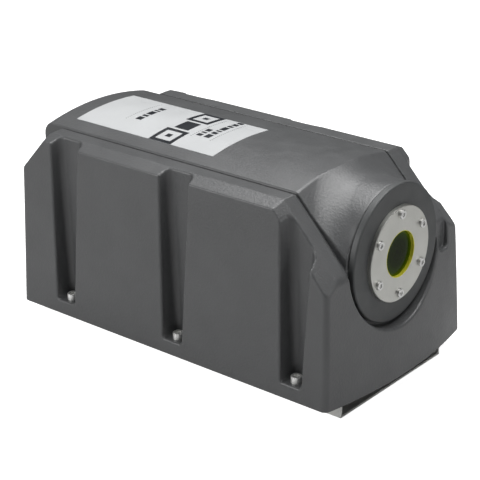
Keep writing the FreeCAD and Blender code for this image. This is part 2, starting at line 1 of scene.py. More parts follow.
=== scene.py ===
"""Looks of the weatherproof fibre-optic light source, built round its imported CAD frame.

Shapes are worked out in millimetres in the row frame and scaled to metres at the end.
"""
import math

import bmesh
import bpy
import numpy as np
from mathutils import Matrix, Vector


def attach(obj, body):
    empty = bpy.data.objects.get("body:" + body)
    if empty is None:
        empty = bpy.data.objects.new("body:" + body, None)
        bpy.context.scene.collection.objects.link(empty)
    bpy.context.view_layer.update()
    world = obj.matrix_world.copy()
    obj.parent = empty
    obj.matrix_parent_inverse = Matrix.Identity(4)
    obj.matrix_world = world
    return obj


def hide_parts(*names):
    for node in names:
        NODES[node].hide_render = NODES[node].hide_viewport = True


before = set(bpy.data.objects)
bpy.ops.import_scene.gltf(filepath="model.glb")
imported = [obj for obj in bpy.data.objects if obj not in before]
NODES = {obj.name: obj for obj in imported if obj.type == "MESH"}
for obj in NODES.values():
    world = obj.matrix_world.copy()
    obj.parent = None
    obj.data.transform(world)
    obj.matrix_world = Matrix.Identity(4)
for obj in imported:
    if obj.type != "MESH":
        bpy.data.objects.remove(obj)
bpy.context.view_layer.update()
MM = 0.001

# ---- hood dimensions, as in the CAD ----------------------------------------------
WALL = 3.5
LIP_Z = 17.5
REAR_X = -189.0
FRONT_CENTRE_X = 189.0
FRONT_CORNER_X = 178.5
BOW_HALF = 98.5
HALF_WIDTH = 104.5
DRAFT = 0.0525
CORNER_R = 6.0
KNEE_Z = 130.0
KNEE_X = 173.3
REAR_KNEE_Z = 159.5
REAR_KNEE_X = -187.9
LEDGE_Z = 190.0
CREASE_X = 116.0
REAR_CREASE_X = -160.0
BEVEL_OUT = 13.1
BEVEL_DOWN = 5.0
LEDGE_HALF = 82.6
DOME_HALF = 65.0
DOME_FOOT_Z = 190.5
DOME_TOP_Z = 198.5
DOME_REAR_R = 12.0
GROOVE_WIDTH = 2.8
GROOVE_DEPTH = 2.0
FLUTE_X = (-131.0, 4.0, 139.0)
FLUTE_FLOOR_Z = 31.5
FLUTE_TOP_Z = 215.0
PORT_Z = 129.0
BARREL_R = 62.5
BARREL_FILLET = 15.0
SEAT_X = 168.8
SEAT_R = 66.5
SEAT_HOLE_R = 28.0
POCKET_X = 169.5
POCKET_Y = (67.0, 82.0)
POCKET_Z = 106.5
OPENING_HALF = 55.0
OPENING_TOP_Z = 62.0

GLASS_EDGE = 0.0213         # metres, a little over the clear bore
# radius inside which the ring's bore gets the painted yellow reflection of the glass
BORE_REFLECTION_R = 0.0212

SKIN_TRIANGLES = 90000.0
FLOOR_HALF = 3.0            # metres
FLOOR_GLOW = 0.95           # to the camera only
WORLD_FILL = 0.03
WORLD_SEEN = 1.0
CAMERA_PLACE = (0.8640, -1.0364, 0.6712)
CAMERA_LOOK = (-0.5892, 0.7061, -0.3927)
CAMERA_ROLL = math.radians(-0.7)
CAMERA_LENS = 117.8
SENSOR_WIDTH = 36.0
LIGHT_TARGET = (0.0, 0.0, 0.1)

RISE = DOME_TOP_Z - DOME_FOOT_Z
ARCH_R = (DOME_HALF ** 2 + RISE ** 2) / (2 * RISE)
ARCH_Z = DOME_TOP_Z - ARCH_R


# ---- solid shapes as signed distances --------------------------------------------
def cut_round(a, b, r):
    """Where both hold, with the edge between them rounded."""
    u = np.maximum(r + a, 0)
    v = np.maximum(r + b, 0)
    return np.minimum(-r, np.maximum(a, b)) + np.hypot(u, v)


def join_round(a, b, r):
    """Where either holds, with a fillet of about r between them."""
    u = np.maximum(r - a, 0)
    v = np.maximum(r - b, 0)
    return np.maximum(r, np.minimum(a, b)) - np.hypot(u, v)


def slope_normal(x0, z0, x1, z1):
    """Outward normal, in the XZ plane, of a slope that falls from (x0, z0) to (x1, z1)."""
    run = x1 - x0
    drop = z0 - z1
    size = math.hypot(run, drop)
    return math.copysign(drop, run) / size, abs(run) / size


FRONT_N = slope_normal(CREASE_X, LEDGE_Z, KNEE_X, KNEE_Z)
REAR_N = slope_normal(REAR_CREASE_X, LEDGE_Z, REAR_KNEE_X, REAR_KNEE_Z)
TILT = math.atan2(BEVEL_DOWN, BEVEL_OUT)


def plane(x, z, x0, normal):
    """Slope through the ledge's edge at x0."""
    return (x - x0) * normal[0] + (z - LEDGE_Z) * normal[1]


def bevel_plane(x, ya, z, x0, normal):
    return plane(x, z, x0, normal) * math.cos(TILT) + (ya - LEDGE_HALF) * math.sin(TILT)


def flute(x, ya, z, centre):
    """Tapered channel in a side wall, around x = centre."""
    up = (z - FLUTE_FLOOR_Z) / (FLUTE_TOP_Z - FLUTE_FLOOR_Z)
    back = 85.5 - 1.5 * up
    inner = 8.5 + 7.0 * up
    mouth = 11.5 + 9.0 * up
    out = (ya - back) / (HALF_WIDTH - 85.0)
    width = inner + (mouth - inner) * out
    walls = (np.abs(x - centre) - width) * 0.98
    d = cut_round(walls, back - ya, 5.5)
    return cut_round(d, FLUTE_FLOOR_Z - z, 3.0)


def hood_outside(x, y, z):
    ya = np.abs(y)
    side = (ya - HALF_WIDTH + DRAFT * (z - LIP_Z)) * math.cos(DRAFT)
    lean = (REAR_KNEE_X - REAR_X) / (KNEE_Z - LIP_Z)
    rear = REAR_X + lean * np.clip(z - LIP_Z, 0, KNEE_Z - LIP_Z) - x
    rise = np.clip((z - LIP_Z) / (KNEE_Z - LIP_Z), 0, 1)
    bow = FRONT_CENTRE_X - (FRONT_CENTRE_X - FRONT_CORNER_X) * (ya / BOW_HALF) ** 2
    front = x - bow - (KNEE_X - bow) * rise
    front_slope = plane(x, z, CREASE_X, FRONT_N)
    rear_slope = plane(x, z, REAR_CREASE_X, REAR_N)
    ends = cut_round(cut_round(front, front_slope, 3.0), cut_round(rear, rear_slope, 1.5), 0.1)
    walls = cut_round(side, ends, CORNER_R - 1)
    lid = cut_round(cut_round(z - LEDGE_Z, front_slope, 0.9), rear_slope, 0.9)
    bevel = bevel_plane(x, ya, z, CREASE_X, (0.0, 1.0))
    bevel = cut_round(bevel, bevel_plane(x, ya, z, CREASE_X, FRONT_N), 0.9)
    bevel = cut_round(bevel, bevel_plane(x, ya, z, REAR_CREASE_X, REAR_N), 0.9)
    core = cut_round(walls, cut_round(lid, bevel, 0.35), 1.0)
    # domed top, its run down the front slope, and the barrel blended into both
    arch = np.hypot(ya, z - ARCH_Z) - ARCH_R
    arch_top = ARCH_Z + np.sqrt(ARCH_R ** 2 - np.minimum(ya, 120.0) ** 2)
    run = (x - CREASE_X) * FRONT_N[0] + (z - arch_top) * FRONT_N[1]
    dome = cut_round(arch, run, 1.2)
    dome = cut_round(dome, REAR_KNEE_X - x, DOME_REAR_R)
    round_port = np.hypot(y, z - PORT_Z)
    barrel = np.maximum(round_port - BARREL_R, CREASE_X - 15 - x)
    dome = np.maximum(join_round(dome, barrel, BARREL_FILLET), arch)
    dome = cut_round(dome, ya - DOME_HALF, 1.2)
    dome = cut_round(dome, x - SEAT_X, 1.2)
    body = join_round(core, dome, 0.5)
    # groove at the foot of the dome
    strip = np.abs(ya - DOME_HALF - GROOVE_WIDTH / 2) - GROOVE_WIDTH / 2
    groove = cut_round(strip, -lid - GROOVE_DEPTH, 0.7)
    body = cut_round(body, -groove, 1.2)
    # recess round the port disc
    recess = cut_round(round_port - SEAT_R, SEAT_X - x, 2.6)
    body = cut_round(body, -recess, 2.4)
    # pocket that runs out of the front slope on the +Y side of the disc
    pocket = np.abs(y - sum(POCKET_Y) / 2) - (POCKET_Y[1] - POCKET_Y[0]) / 2
    pocket = cut_round(cut_round(pocket, POCKET_Z - z, 5.0), POCKET_X - x, 1.0)
    body = cut_round(body, -pocket, 1.5)
    for centre in FLUTE_X:
        body = cut_round(body, -flute(x, ya, z, centre), 1.7)
    return body


def hood_shell(x, y, z):
    body = hood_outside(x, y, z)
    shell = np.maximum(body, -(body + WALL))
    shell = cut_round(shell, LIP_Z - z, 0.8)
    hole = np.maximum(np.hypot(y, z - PORT_Z) - SEAT_HOLE_R, SEAT_X - 12 - x)
    shell = np.maximum(shell, -hole)
    opening = cut_round(np.abs(y) - OPENING_HALF, z - OPENING_TOP_Z, 14.0)
    opening = np.maximum(opening, x + 177.0)
    return cut_round(shell, -opening, 0.7)


def axis(*runs):
    """Grid lines over consecutive runs, each (end, step), after the first number, the start."""
    lines = [np.array([runs[0]])]
    start = runs[0]
    for end, step in runs[1:]:
        count = max(1, int(round((end - start) / step)))
        lines.append(np.linspace(start, end, count + 1)[1:])
        start = end
    return np.concatenate(lines)


def surface_net(field, xs, ys, zs):
    """Quads on the zero surface of a signed distance sampled on a rectangular grid."""
    d = field(xs[:, None, None], ys[None, :, None], zs[None, None, :])
    inside = d < 0
    count = np.zeros([n - 1 for n in d.shape], np.int8)
    for i in (0, 1):
        for j in (0, 1):
            for k in (0, 1):
                count += inside[i:d.shape[0] - 1 + i, j:d.shape[1] - 1 + j, k:d.shape[2] - 1 + k]
    mixed = np.argwhere((count > 0) & (count < 8))
    index = np.full(count.shape, -1, np.int64)
    index[tuple(mixed.T)] = np.arange(len(mixed))
    corners = [(i, j, k) for i in (0, 1) for j in (0, 1) for k in (0, 1)]
    value = {}
    place = {}
    for c in corners:
        at = mixed + np.array(c)
        value[c] = d[tuple(at.T)]
        place[c] = np.stack([xs[at[:, 0]], ys[at[:, 1]], zs[at[:, 2]]], 1)
    total = np.zeros((len(mixed), 3))
    hits = np.zeros(len(mixed))
    for a in corners:
        for step in range(3):
            if a[step]:
                continue
            b = tuple(a[n] + (1 if n == step else 0) for n in range(3))
            cross = (value[a] < 0) != (value[b] < 0)
            span = np.where(cross, value[a] - value[b], 1.0)
            share = np.where(cross, value[a] / span, 0.0)
            point = place[a] + share[:, None] * (place[b] - place[a])
            total += np.where(cross[:, None], point, 0.0)
            hits += cross
    points = total / hits[:, None]
    quads = []
    for step in range(3):
        u = (step + 1) % 3
        v = (step + 2) % 3
        lo = [slice(1, -1)] * 3
        hi = [slice(1, -1)] * 3
        lo[step] = slice(0, d.shape[step] - 1)
        hi[step] = slice(1, d.shape[step])
        first = inside[tuple(lo)]
        flip = first != inside[tuple(hi)]
        at = np.argwhere(flip)
        leaves = first[tuple(at.T)]
        at = at + np.array([0 if n == step else 1 for n in range(3)])
        ring = []
        for du, dv in ((-1, -1), (0, -1), (0, 0), (-1, 0)):
            cell = at.copy()
            cell[:, u] += du
            cell[:, v] += dv
            ring.append(index[tuple(cell.T)])
        ring = np.stack(ring, 1)
        quads.append(np.where(leaves[:, None], ring, ring[:, ::-1]))
    return points, np.concatenate(quads)


def gradient(field, p, h=0.04):
    g = np.zeros_like(p)
    for n in range(3):
        step = np.zeros(3)
        step[n] = h
        a = p + step
        b = p - step
        g[:, n] = (field(a[:, 0], a[:, 1], a[:, 2]) - field(b[:, 0], b[:, 1], b[:, 2])) / (2 * h)
    return g


def settle(field, p, rounds=3, reach=0.7):
    """Moves points onto the zero surface."""
    for _ in range(rounds):
        g = gradient(field, p)
        size = np.maximum((g * g).sum(1), 0.05)
        move = -(field(p[:, 0], p[:, 1], p[:, 2]) / size)[:, None] * g
        length = np.maximum(np.linalg.norm(move, axis=1), 1e-9)
        p = p + move * np.minimum(1.0, reach / length)[:, None]
    return p


def mesh_object(name, points, faces, smooth=True):
    """Mesh from points in millimetres."""
    mesh = bpy.data.meshes.new(name)
    mesh.from_pydata([tuple(c) for c in (np.asarray(points) * MM).tolist()], [], [tuple(f) for f in faces])
    mesh.validate()
    mesh.update()
    if smooth:
        mesh.polygons.foreach_set("use_smooth", [True] * len(mesh.polygons))
    obj = bpy.data.objects.new(name, mesh)
    bpy.context.scene.collection.objects.link(obj)
    return obj


def hood_skin():
    rear = ((-175, 1.5), (-156, 2.4), (-106, 1.6), (-22, 3.5))
    front = ((30, 1.6), (112, 3.4), (163, 1.6), (192, 1.05))
    xs = axis(-192.0, *rear, *front)
    half = axis(0.0, (60, 1.7), (69.5, 0.75), (82, 1.6), (106.5, 1.35))
    ys = np.concatenate([-half[:0:-1], half]) + 0.011
    zs = axis(15.2, (36, 1.3), (62, 2.0), (180, 1.75), (186, 1.0), (200, 0.7))
    points, quads = surface_net(hood_shell, xs + 0.013, ys, zs + 0.017)
    points = settle(hood_shell, points)
    obj = mesh_object("hood_skin", points, quads)
    thin = obj.modifiers.new("thin", "DECIMATE")
    thin.ratio = min(1.0, SKIN_TRIANGLES / len(quads))
    thin.use_collapse_triangulate = True
    graph = bpy.context.evaluated_depsgraph_get()
    mesh = bpy.data.meshes.new_from_object(obj.evaluated_get(graph))
    obj.modifiers.clear()
    obj.data = mesh
    p = np.empty(len(mesh.vertices) * 3)
    mesh.vertices.foreach_get("co", p)
    p = settle(hood_shell, p.reshape(-1, 3) / MM, 2, 0.3)
    mesh.vertices.foreach_set("co", (p * MM).ravel())
    g = gradient(hood_shell, p, 0.12)
    g /= np.maximum(np.linalg.norm(g, axis=1), 1e-9)[:, None]
    mesh.polygons.foreach_set("use_smooth", [True] * len(mesh.polygons))
    mesh.normals_split_custom_set_from_vertices(g.tolist())
    mesh.update()
    return obj


# ---- label ------------------------------------------------------------------------
LABEL_X = (-159.6, 9.6)
LABEL_Y = (-48.6, 30.6)
LABEL_THICK = 0.33


def label_marks():
    """Rectangles (x0, x1, y0, y1) of dark generic print: a band of blocks and rows of bars and dots."""
    marks = []
    for y0 in (-48.6, 3.6):
        marks.append((-68.0, -41.0, y0, y0 + 4.5))
        marks.append((-68.0, -41.0, y0 + 22.5, y0 + 27.0))
        marks.append((-68.0, -63.5, y0, y0 + 27.0))
        marks.append((-45.5, -41.0, y0, y0 + 27.0))
        marks.append((-57.5, -51.5, y0 + 10.5, y0 + 16.5))
    marks.append((-63.0, -46.0, -18.5, 0.6))
    rows = (
        (-109.0, 7.0, (7, 4, 9, 3, 6)),
        (-24.5, 6.5, (8, 5, 3, 9, 4, 6, 5)),
        (-33.5, 6.0, (5, 3, 6)),
    )
    for x0, width, bars in rows:
        y = -22.0
        for bar in bars:
            marks.append((x0, x0 + width, y, y + bar))
            y += bar + 2.0
    for x0 in (-117.5, -13.5, -36.5):
        for k in range(20):
            marks.append((x0, x0 + 0.9, -26.0 + 2.6 * k, -24.9 + 2.6 * k))
    return marks


def label_skin():
    marks = label_marks()
    xs = set(np.linspace(LABEL_X[0], LABEL_X[1], 24).round(3))
    ys = set(np.linspace(LABEL_Y[0], LABEL_Y[1], 30).round(3))
    for x0, x1, y0, y1 in marks:
        xs.update((round(x0, 3), round(x1, 3)))
        ys.update((round(y0, 3), round(y1, 3)))
    xs = np.array(sorted(xs))
    ys = np.array(sorted(ys))
    nx = len(xs)
    ny = len(ys)
    gx, gy = np.meshgrid(xs, ys, indexing="ij")
    points = []
    for lift in (0.01, LABEL_THICK):
        gz = ARCH_Z + np.sqrt((ARCH_R + lift) ** 2 - gy ** 2)
        points.append(np.stack([gx, gy, gz], 2).reshape(-1, 3))
    points = np.concatenate(points)
    top = nx * ny
    faces = []
    dark = []
    cx = (xs[1:] + xs[:-1]) / 2
    cy = (ys[1:] + ys[:-1]) / 2
    ink = np.zeros((nx - 1, ny - 1), bool)
    for x0, x1, y0, y1 in marks:
        ink |= ((cx > x0) & (cx < x1))[:, None] & ((cy > y0) & (cy < y1))[None, :]
    for i in range(nx - 1):
        for j in range(ny - 1):
            a = i * ny + j
            faces.append((top + a, top + a + ny, top + a + ny + 1, top + a + 1))
            dark.append(bool(ink[i, j]))
            faces.append((a, a + 1, a + ny + 1, a + ny))
            dark.append(False)
    rim = [i * ny for i in range(nx)] + [(nx - 1) * ny + j for j in range(1, ny)]
    rim += [i * ny + ny - 1 for i in range(nx - 2, -1, -1)] + [j for j in range(ny - 2, 0, -1)]
    for n, a in enumerate(rim):
        b = rim[(n + 1) % len(rim)]
        faces.append((a, b, top + b, top + a))
        dark.append(False)
    obj = mesh_object("label_skin", points, faces, smooth=False)
    obj.data.materials.append(label_white())
    obj.data.materials.append(label_ink())
    obj.data.polygons.foreach_set("material_index", [int(d) for d in dark])
    return obj


# ---- materials -----------------------------------------------------------------------
class Nodes:
    """Short way to write one material's nodes."""

    def __init__(self, name):
        self.material = bpy.data.materials.new(name)
        self.material.use_nodes = True
        self.tree = self.material.node_tree
        self.tree.nodes.clear()
        self.out = self.tree.nodes.new("ShaderNodeOutputMaterial")
        self.shader = self.tree.nodes.new("ShaderNodeBsdfPrincipled")
        self.link(self.shader.outputs["BSDF"], self.out.inputs["Surface"])
        self.place = self.tree.nodes.new("ShaderNodeTexCoord").outputs["Object"]

    def link(self, a, b):
        self.tree.links.new(a, b)

    def set(self, **values):
        for key, value in values.items():
            self.shader.inputs[key.replace("_", " ")].default_value = value

    def stretched(self, scale):
        node = self.tree.nodes.new("ShaderNodeMapping")
        node.inputs["Scale"].default_value = scale
        self.link(self.place, node.inputs["Vector"])
        return node.outputs["Vector"]

    def noise(self, scale, detail=3.0, rough=0.5, where=None, warp=0.0):
        node = self.tree.nodes.new("ShaderNodeTexNoise")
        node.inputs["Scale"].default_value = scale
        node.inputs["Detail"].default_value = detail
        node.inputs["Roughness"].default_value = rough
        node.inputs["Distortion"].default_value = warp
        self.link(where or self.place, node.inputs["Vector"])
        return node.outputs["Fac"]

    def cells(self, scale):
        node = self.tree.nodes.new("ShaderNodeTexVoronoi")
        node.inputs["Scale"].default_value = scale
        self.link(self.place, node.inputs["Vector"])
        return node.outputs["Distance"]

    def spread(self, value, low, high, lo_in=0.3, hi_in=0.7):
        node = self.tree.nodes.new("ShaderNodeMapRange")
        self.link(value, node.inputs["Value"])
        for key, number in (("From Min", lo_in), ("From Max", hi_in), ("To Min", low), ("To Max", high)):
            node.inputs[key].default_value = number
        return node.outputs["Result"]

    def ramp(self, value, *stops):
        node = self.tree.nodes.new("ShaderNodeValToRGB")
        ends = node.color_ramp.elements
        while len(ends) < len(stops):
            ends.new(0.5)
        for end, (at, colour) in zip(ends, stops):
            end.position = at
            end.color = (*colour, 1.0)
        self.link(value, node.inputs["Fac"])
        return node.outputs["Color"]

    def math(self, kind, a, b):
        node = self.tree.nodes.new("ShaderNodeMath")
        node.operation = kind
        for socket, value in zip(node.inputs, (a, b)):
            if isinstance(value, (int, float)):
                socket.default_value = value
            else:
                self.link(value, socket)
        return node.outputs["Value"]

    def colour(self, value):
        self.link(value, self.shader.inputs["Base Color"])

    def roughness(self, value):
        self.link(value, self.shader.inputs["Roughness"])

    def bump(self, height, strength, distance):
        node = self.tree.nodes.new("ShaderNodeBump")
        node.inputs["Strength"].default_value = strength
        node.inputs["Distance"].default_value = distance
        self.link(height, node.inputs["Height"])
        self.link(node.outputs["Normal"], self.shader.inputs["Normal"])


def tint(colour, factor):
    return tuple(min(1.0, c * factor) for c in colour)


def plastic(name, colour, rough=0.5, grain=1500.0, depth=0.00012, vary=0.08, specular=0.5):
    """Moulded plastic with a fine spark-eroded texture, faint mottling and a little rubbed shine."""
    n = Nodes(name)
    n.set(Metallic=0.0)
    n.shader.inputs["Specular IOR Level"].default_value = specular
    cloud = n.noise(22.0, 4.0, 0.6)
    n.colour(n.ramp(cloud, (0.3, tint(colour, 1 - vary)), (0.7, tint(colour, 1 + vary))))
    n.roughness(n.spread(n.noise(60.0, 5.0, 0.6), rough - 0.05, rough + 0.07))
    fine = n.math("ADD", n.noise(grain, 2.0, 0.6), n.math("MULTIPLY", n.cells(grain * 0.6), 0.6))
    n.bump(fine, 0.35, depth)
    return n.material


def rubber(name, colour):
    n = Nodes(name)
    n.colour(n.ramp(n.noise(90.0, 3.0), (0.3, tint(colour, 0.8)), (0.7, tint(colour, 1.3))))
    n.roughness(n.spread(n.noise(200.0), 0.7, 0.88))
    n.bump(n.noise(2500.0, 2.0), 0.3, 0.0001)
    return n.material


def turned_metal(name, colour, rough=0.28, centre=None, vary=0.05):
    """Metal faced on a lathe: fine rings round the axis through centre, along X."""
    n = Nodes(name)
    n.set(Metallic=1.0)
    split = n.tree.nodes.new("ShaderNodeSeparateXYZ")
    n.link(n.place, split.inputs["Vector"])
    cy, cz = centre or (0.0, 0.0)
    dy = n.math("SUBTRACT", split.outputs["Y"], cy)
    dz = n.math("SUBTRACT", split.outputs["Z"], cz)
    radius = n.math("SQRT", n.math("ADD", n.math("MULTIPLY", dy, dy), n.math("MULTIPLY", dz, dz)), 0.0)
    merge = n.tree.nodes.new("ShaderNodeCombineXYZ")
    n.link(radius, merge.inputs["X"])
    n.link(n.math("MULTIPLY", split.outputs["X"], 0.2), merge.inputs["Y"])
    rings = n.noise(2600.0, 2.0, 0.6, merge.outputs["Vector"])
    n.colour(n.ramp(n.noise(40.0, 4.0, 0.6), (0.3, tint(colour, 1 - vary)), (0.7, tint(colour, 1 + vary))))
    ring_share = n.math("MULTIPLY", rings, 0.5)
    wear_share = n.math("MULTIPLY", n.noise(70.0, 4.0), 0.5)
    n.roughness(n.spread(n.math("ADD", ring_share, wear_share), rough - 0.06, rough + 0.08))
    n.bump(rings, 0.12, 0.00005)
    return n.material


def brushed_metal(name, colour, rough=0.32, along="X", vary=0.06):
    """Rolled or brushed sheet: fine streaks along one axis, and faint handling marks."""
    n = Nodes(name)
    n.set(Metallic=1.0)
    scale = {"X": (30.0, 1800.0, 1800.0), "Y": (1800.0, 30.0, 1800.0), "Z": (1800.0, 1800.0, 30.0)}[along]
    streak = n.noise(1.0, 3.0, 0.6, n.stretched(scale))
    marks = n.noise(35.0, 5.0, 0.65, None, 0.6)
    n.colour(n.ramp(marks, (0.3, tint(colour, 1 - vary)), (0.7, tint(colour, 1 + vary))))
    n.roughness(n.spread(n.math("ADD", n.math("MULTIPLY", streak, 0.6), n.math("MULTIPLY", marks, 0.4)),
                         rough - 0.08, rough + 0.1))
    n.bump(streak, 0.15, 0.00005)
    return n.material


def painted(name, colour, rough=0.42, orange=900.0, vary=0.07):
    """Sprayed coat with orange peel over metal."""
    n = Nodes(name)
    n.set(Metallic=0.0)
    n.colour(n.ramp(n.noise(30.0, 4.0, 0.6), (0.3, tint(colour, 1 - vary)), (0.7, tint(colour, 1 + vary))))
    n.roughness(n.spread(n.noise(80.0, 4.0), rough - 0.05, rough + 0.06))
    coarse = n.noise(orange, 2.0)
    fine = n.math("MULTIPLY", n.noise(orange * 3, 2.0), 0.3)
    n.bump(n.math("ADD", coarse, fine), 0.25, 0.0001)
    return n.material


def clear(name, colour, rough=0.02, ior=1.46, coat=0.0):
    n = Nodes(name)
    n.shader.inputs["Transmission Weight"].default_value = 1.0
    n.shader.inputs["IOR"].default_value = ior
    n.shader.inputs["Coat Weight"].default_value = coat
    n.colour(n.ramp(n.noise(25.0, 3.0), (0.3, tint(colour, 0.96)), (0.7, tint(colour, 1.02))))
    n.roughness(n.spread(n.noise(120.0, 4.0), rough, rough + 0.03))
    return n.material


def from_axis(n, z):
    """Distance from the axis along X at height z, and the place along it."""
    split = n.tree.nodes.new("ShaderNodeSeparateXYZ")
    n.link(n.place, split.inputs["Vector"])
    dz = n.math("SUBTRACT", split.outputs["Z"], z * MM)
    across = n.math("MULTIPLY", split.outputs["Y"], split.outputs["Y"])
    radius = n.math("SQRT", n.math("ADD", across, n.math("MULTIPLY", dz, dz)), 0.0)
    return radius, split.outputs["X"]


def coated_glass():
    """Yellow-green interference coating, dark olive, with a painted reflection that brightens it to yellow
    towards the rim.
    """
    n = Nodes("coated_glass")
    n.shader.inputs["IOR"].default_value = 1.45
    n.shader.inputs["Specular IOR Level"].default_value = 0.07
    radius, _ = from_axis(n, PORT_Z)
    wobble = n.math("ADD", radius, n.math("MULTIPLY", n.noise(45.0, 3.0), 0.0015))
    share = n.math("DIVIDE", wobble, GLASS_EDGE)
    # painted reflection: the yellow towards the rim stands in for the ring's bore seen in the glass
    n.colour(n.ramp(share, (0.0, (0.006, 0.010, 0.0)), (0.6, (0.010, 0.018, 0.0)),
                    (0.86, (0.025, 0.05, 0.0)), (1.0, (0.09, 0.13, 0.0))))
    n.roughness(n.spread(n.noise(90.0, 4.0), 0.06, 0.12))
    return n.material


def port_metal():
    """Turned stainless ring whose bore is painted yellow, a painted reflection of the coated glass next to
    it.
    """
    n = Nodes("port_stainless")
    radius, along = from_axis(n, PORT_Z)
    merge = n.tree.nodes.new("ShaderNodeCombineXYZ")
    n.link(radius, merge.inputs["X"])
    rings = n.noise(2600.0, 2.0, 0.6, merge.outputs["Vector"])
    steel = n.ramp(n.noise(40.0, 4.0, 0.6), (0.3, (0.52, 0.52, 0.49)), (0.7, (0.58, 0.58, 0.55)))
    # painted reflection: inside the bore the steel is coloured yellow and made less metallic to show the
    # coated glass mirrored in it
    glow = n.ramp(n.noise(60.0, 3.0), (0.3, (0.62, 0.58, 0.03)), (0.7, (0.80, 0.76, 0.08)))
    bore = n.math("LESS_THAN", radius, BORE_REFLECTION_R)
    mix = n.tree.nodes.new("ShaderNodeMix")
    mix.data_type = "RGBA"
    n.link(bore, mix.inputs["Factor"])
    n.link(steel, mix.inputs[6])
    n.link(glow, mix.inputs[7])
    n.colour(mix.outputs[2])
    n.link(n.spread(bore, 1.0, 0.2, 0.0, 1.0), n.shader.inputs["Metallic"])
    n.roughness(n.spread(rings, 0.34, 0.48))
    n.bump(rings, 0.12, 0.00005)
    return n.material


def label_white():
    n = Nodes("label_white")
    colour = (0.50, 0.51, 0.515)
    n.colour(n.ramp(n.noise(16.0, 5.0, 0.6), (0.3, tint(colour, 0.95)), (0.7, tint(colour, 1.04))))
    n.roughness(n.spread(n.noise(50.0, 4.0), 0.3, 0.42))
    n.bump(n.noise(1800.0, 2.0), 0.08, 0.00005)
    return n.material


def label_ink():
    n = Nodes("label_ink")
    colour = (0.018, 0.02, 0.024)
    n.colour(n.ramp(n.noise(60.0, 4.0), (0.3, tint(colour, 0.8)), (0.7, tint(colour, 1.25))))
    n.roughness(n.spread(n.noise(70.0, 4.0), 0.28, 0.4))
    n.bump(n.noise(1800.0, 2.0), 0.08, 0.00005)
    return n.material


def filter_glass():
    """Eight dichroic tints round the wheel."""
    n = Nodes("filter_glass")
    n.shader.inputs["IOR"].default_value = 1.5
    n.shader.inputs["Coat Weight"].default_value = 0.5
    split = n.tree.nodes.new("ShaderNodeSeparateXYZ")
    n.link(n.place, split.inputs["Vector"])
    angle = n.math("ARCTAN2", split.outputs["Y"], n.math("SUBTRACT", split.outputs["Z"], 0.089))
    turn = n.math("DIVIDE", n.math("ADD", angle, math.pi + math.pi / 8), 2 * math.pi)
    step = n.math("DIVIDE", n.math("FLOOR", n.math("MULTIPLY", turn, 8.0), 0.0), 8.0)
    hues = ((0.5, 0.02, 0.02), (0.6, 0.2, 0.01), (0.6, 0.5, 0.03), (0.03, 0.35, 0.05),
            (0.02, 0.3, 0.4), (0.02, 0.05, 0.5), (0.25, 0.03, 0.45), (0.5, 0.04, 0.25))
    colour = n.ramp(step, *[(k / 8.0 + 0.001, hue) for k, hue in enumerate(hues)])
    n.tree.nodes[-1].color_ramp.interpolation = "CONSTANT"
    n.colour(colour)
    n.roughness(n.spread(n.noise(90.0, 4.0), 0.05, 0.12))
    return n.material


def copper():
    n = Nodes("enamelled_copper")
    n.set(Metallic=1.0)
    wire = n.tree.nodes.new("ShaderNodeTexWave")
    wire.inputs["Scale"].default_value = 320.0
    wire.inputs["Distortion"].default_value = 0.6
    wire.bands_direction = "Z"
    n.link(n.place, wire.inputs["Vector"])
    n.colour(n.ramp(wire.outputs["Fac"], (0.1, (0.12, 0.035, 0.012)), (0.8, (0.55, 0.2, 0.07))))
    n.roughness(n.spread(n.noise(200.0, 3.0), 0.22, 0.36))
    n.bump(wire.outputs["Fac"], 0.6, 0.0004)
    return n.material


def laminations():
    n = Nodes("laminations")
    n.set(Metallic=0.9)
    wave = n.tree.nodes.new("ShaderNodeTexWave")
    wave.inputs["Scale"].default_value = 260.0
    wave.bands_direction = "Y"
    n.link(n.place, wave.inputs["Vector"])
    n.colour(n.ramp(wave.outputs["Fac"], (0.0, (0.02, 0.02, 0.022)), (1.0, (0.09, 0.09, 0.1))))
    n.roughness(n.spread(n.noise(80.0, 4.0), 0.4, 0.6))
    n.bump(wave.outputs["Fac"], 0.4, 0.0002)
    return n.material


def circuit_board():
    n = Nodes("circuit_board")
    n.shader.inputs["Coat Weight"].default_value = 0.3
    node = n.tree.nodes.new("ShaderNodeTexBrick")
    node.inputs["Scale"].default_value = 90.0
    node.inputs["Mortar Size"].default_value = 0.03
    node.inputs["Color1"].default_value = (0.01, 0.09, 0.035, 1)
    node.inputs["Color2"].default_value = (0.015, 0.12, 0.045, 1)
    node.inputs["Mortar"].default_value = (0.06, 0.26, 0.1, 1)
    n.link(n.place, node.inputs["Vector"])
    n.colour(node.outputs["Color"])
    n.roughness(n.spread(n.noise(90.0, 3.0), 0.25, 0.4))
    n.bump(node.outputs["Fac"], 0.2, 0.0001)
    return n.material


def give(material, *names):
    for name in names:
        mesh = NODES[name].data
        mesh.materials.clear()
        mesh.materials.append(material)


